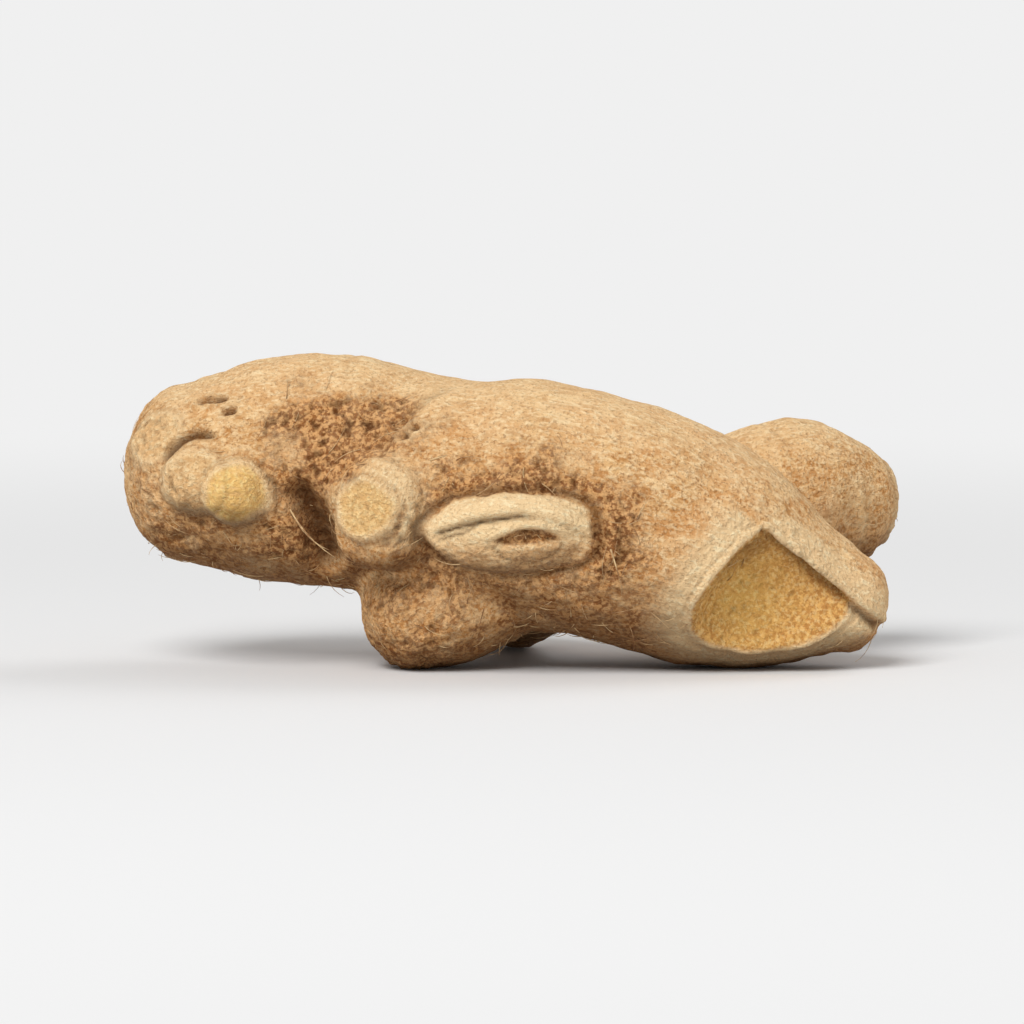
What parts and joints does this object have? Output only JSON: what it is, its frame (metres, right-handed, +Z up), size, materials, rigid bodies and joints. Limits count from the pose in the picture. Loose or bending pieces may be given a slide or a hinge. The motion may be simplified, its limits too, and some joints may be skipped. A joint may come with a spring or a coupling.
{
  "type": "ginger root",
  "caption": "Whole ginger root of thick round fingers grown together, with a bud on its side, small bud scars, and one end with a slanted scar where a finger came off.",
  "frame": {"origin": "on the surface that the root lies on, under the middle of the root", "axes": "+X along the main finger to its scarred end, +Y to the back, +Z up"},
  "size_m": [0.1042, 0.0484, 0.0414],
  "materials": {
    "skin": "dry, matt, corky skin, pale yellow at its scars"
  },
  "bodies": {
    "root": {"ginger_root": "skin"}
  },
  "joints": []
}
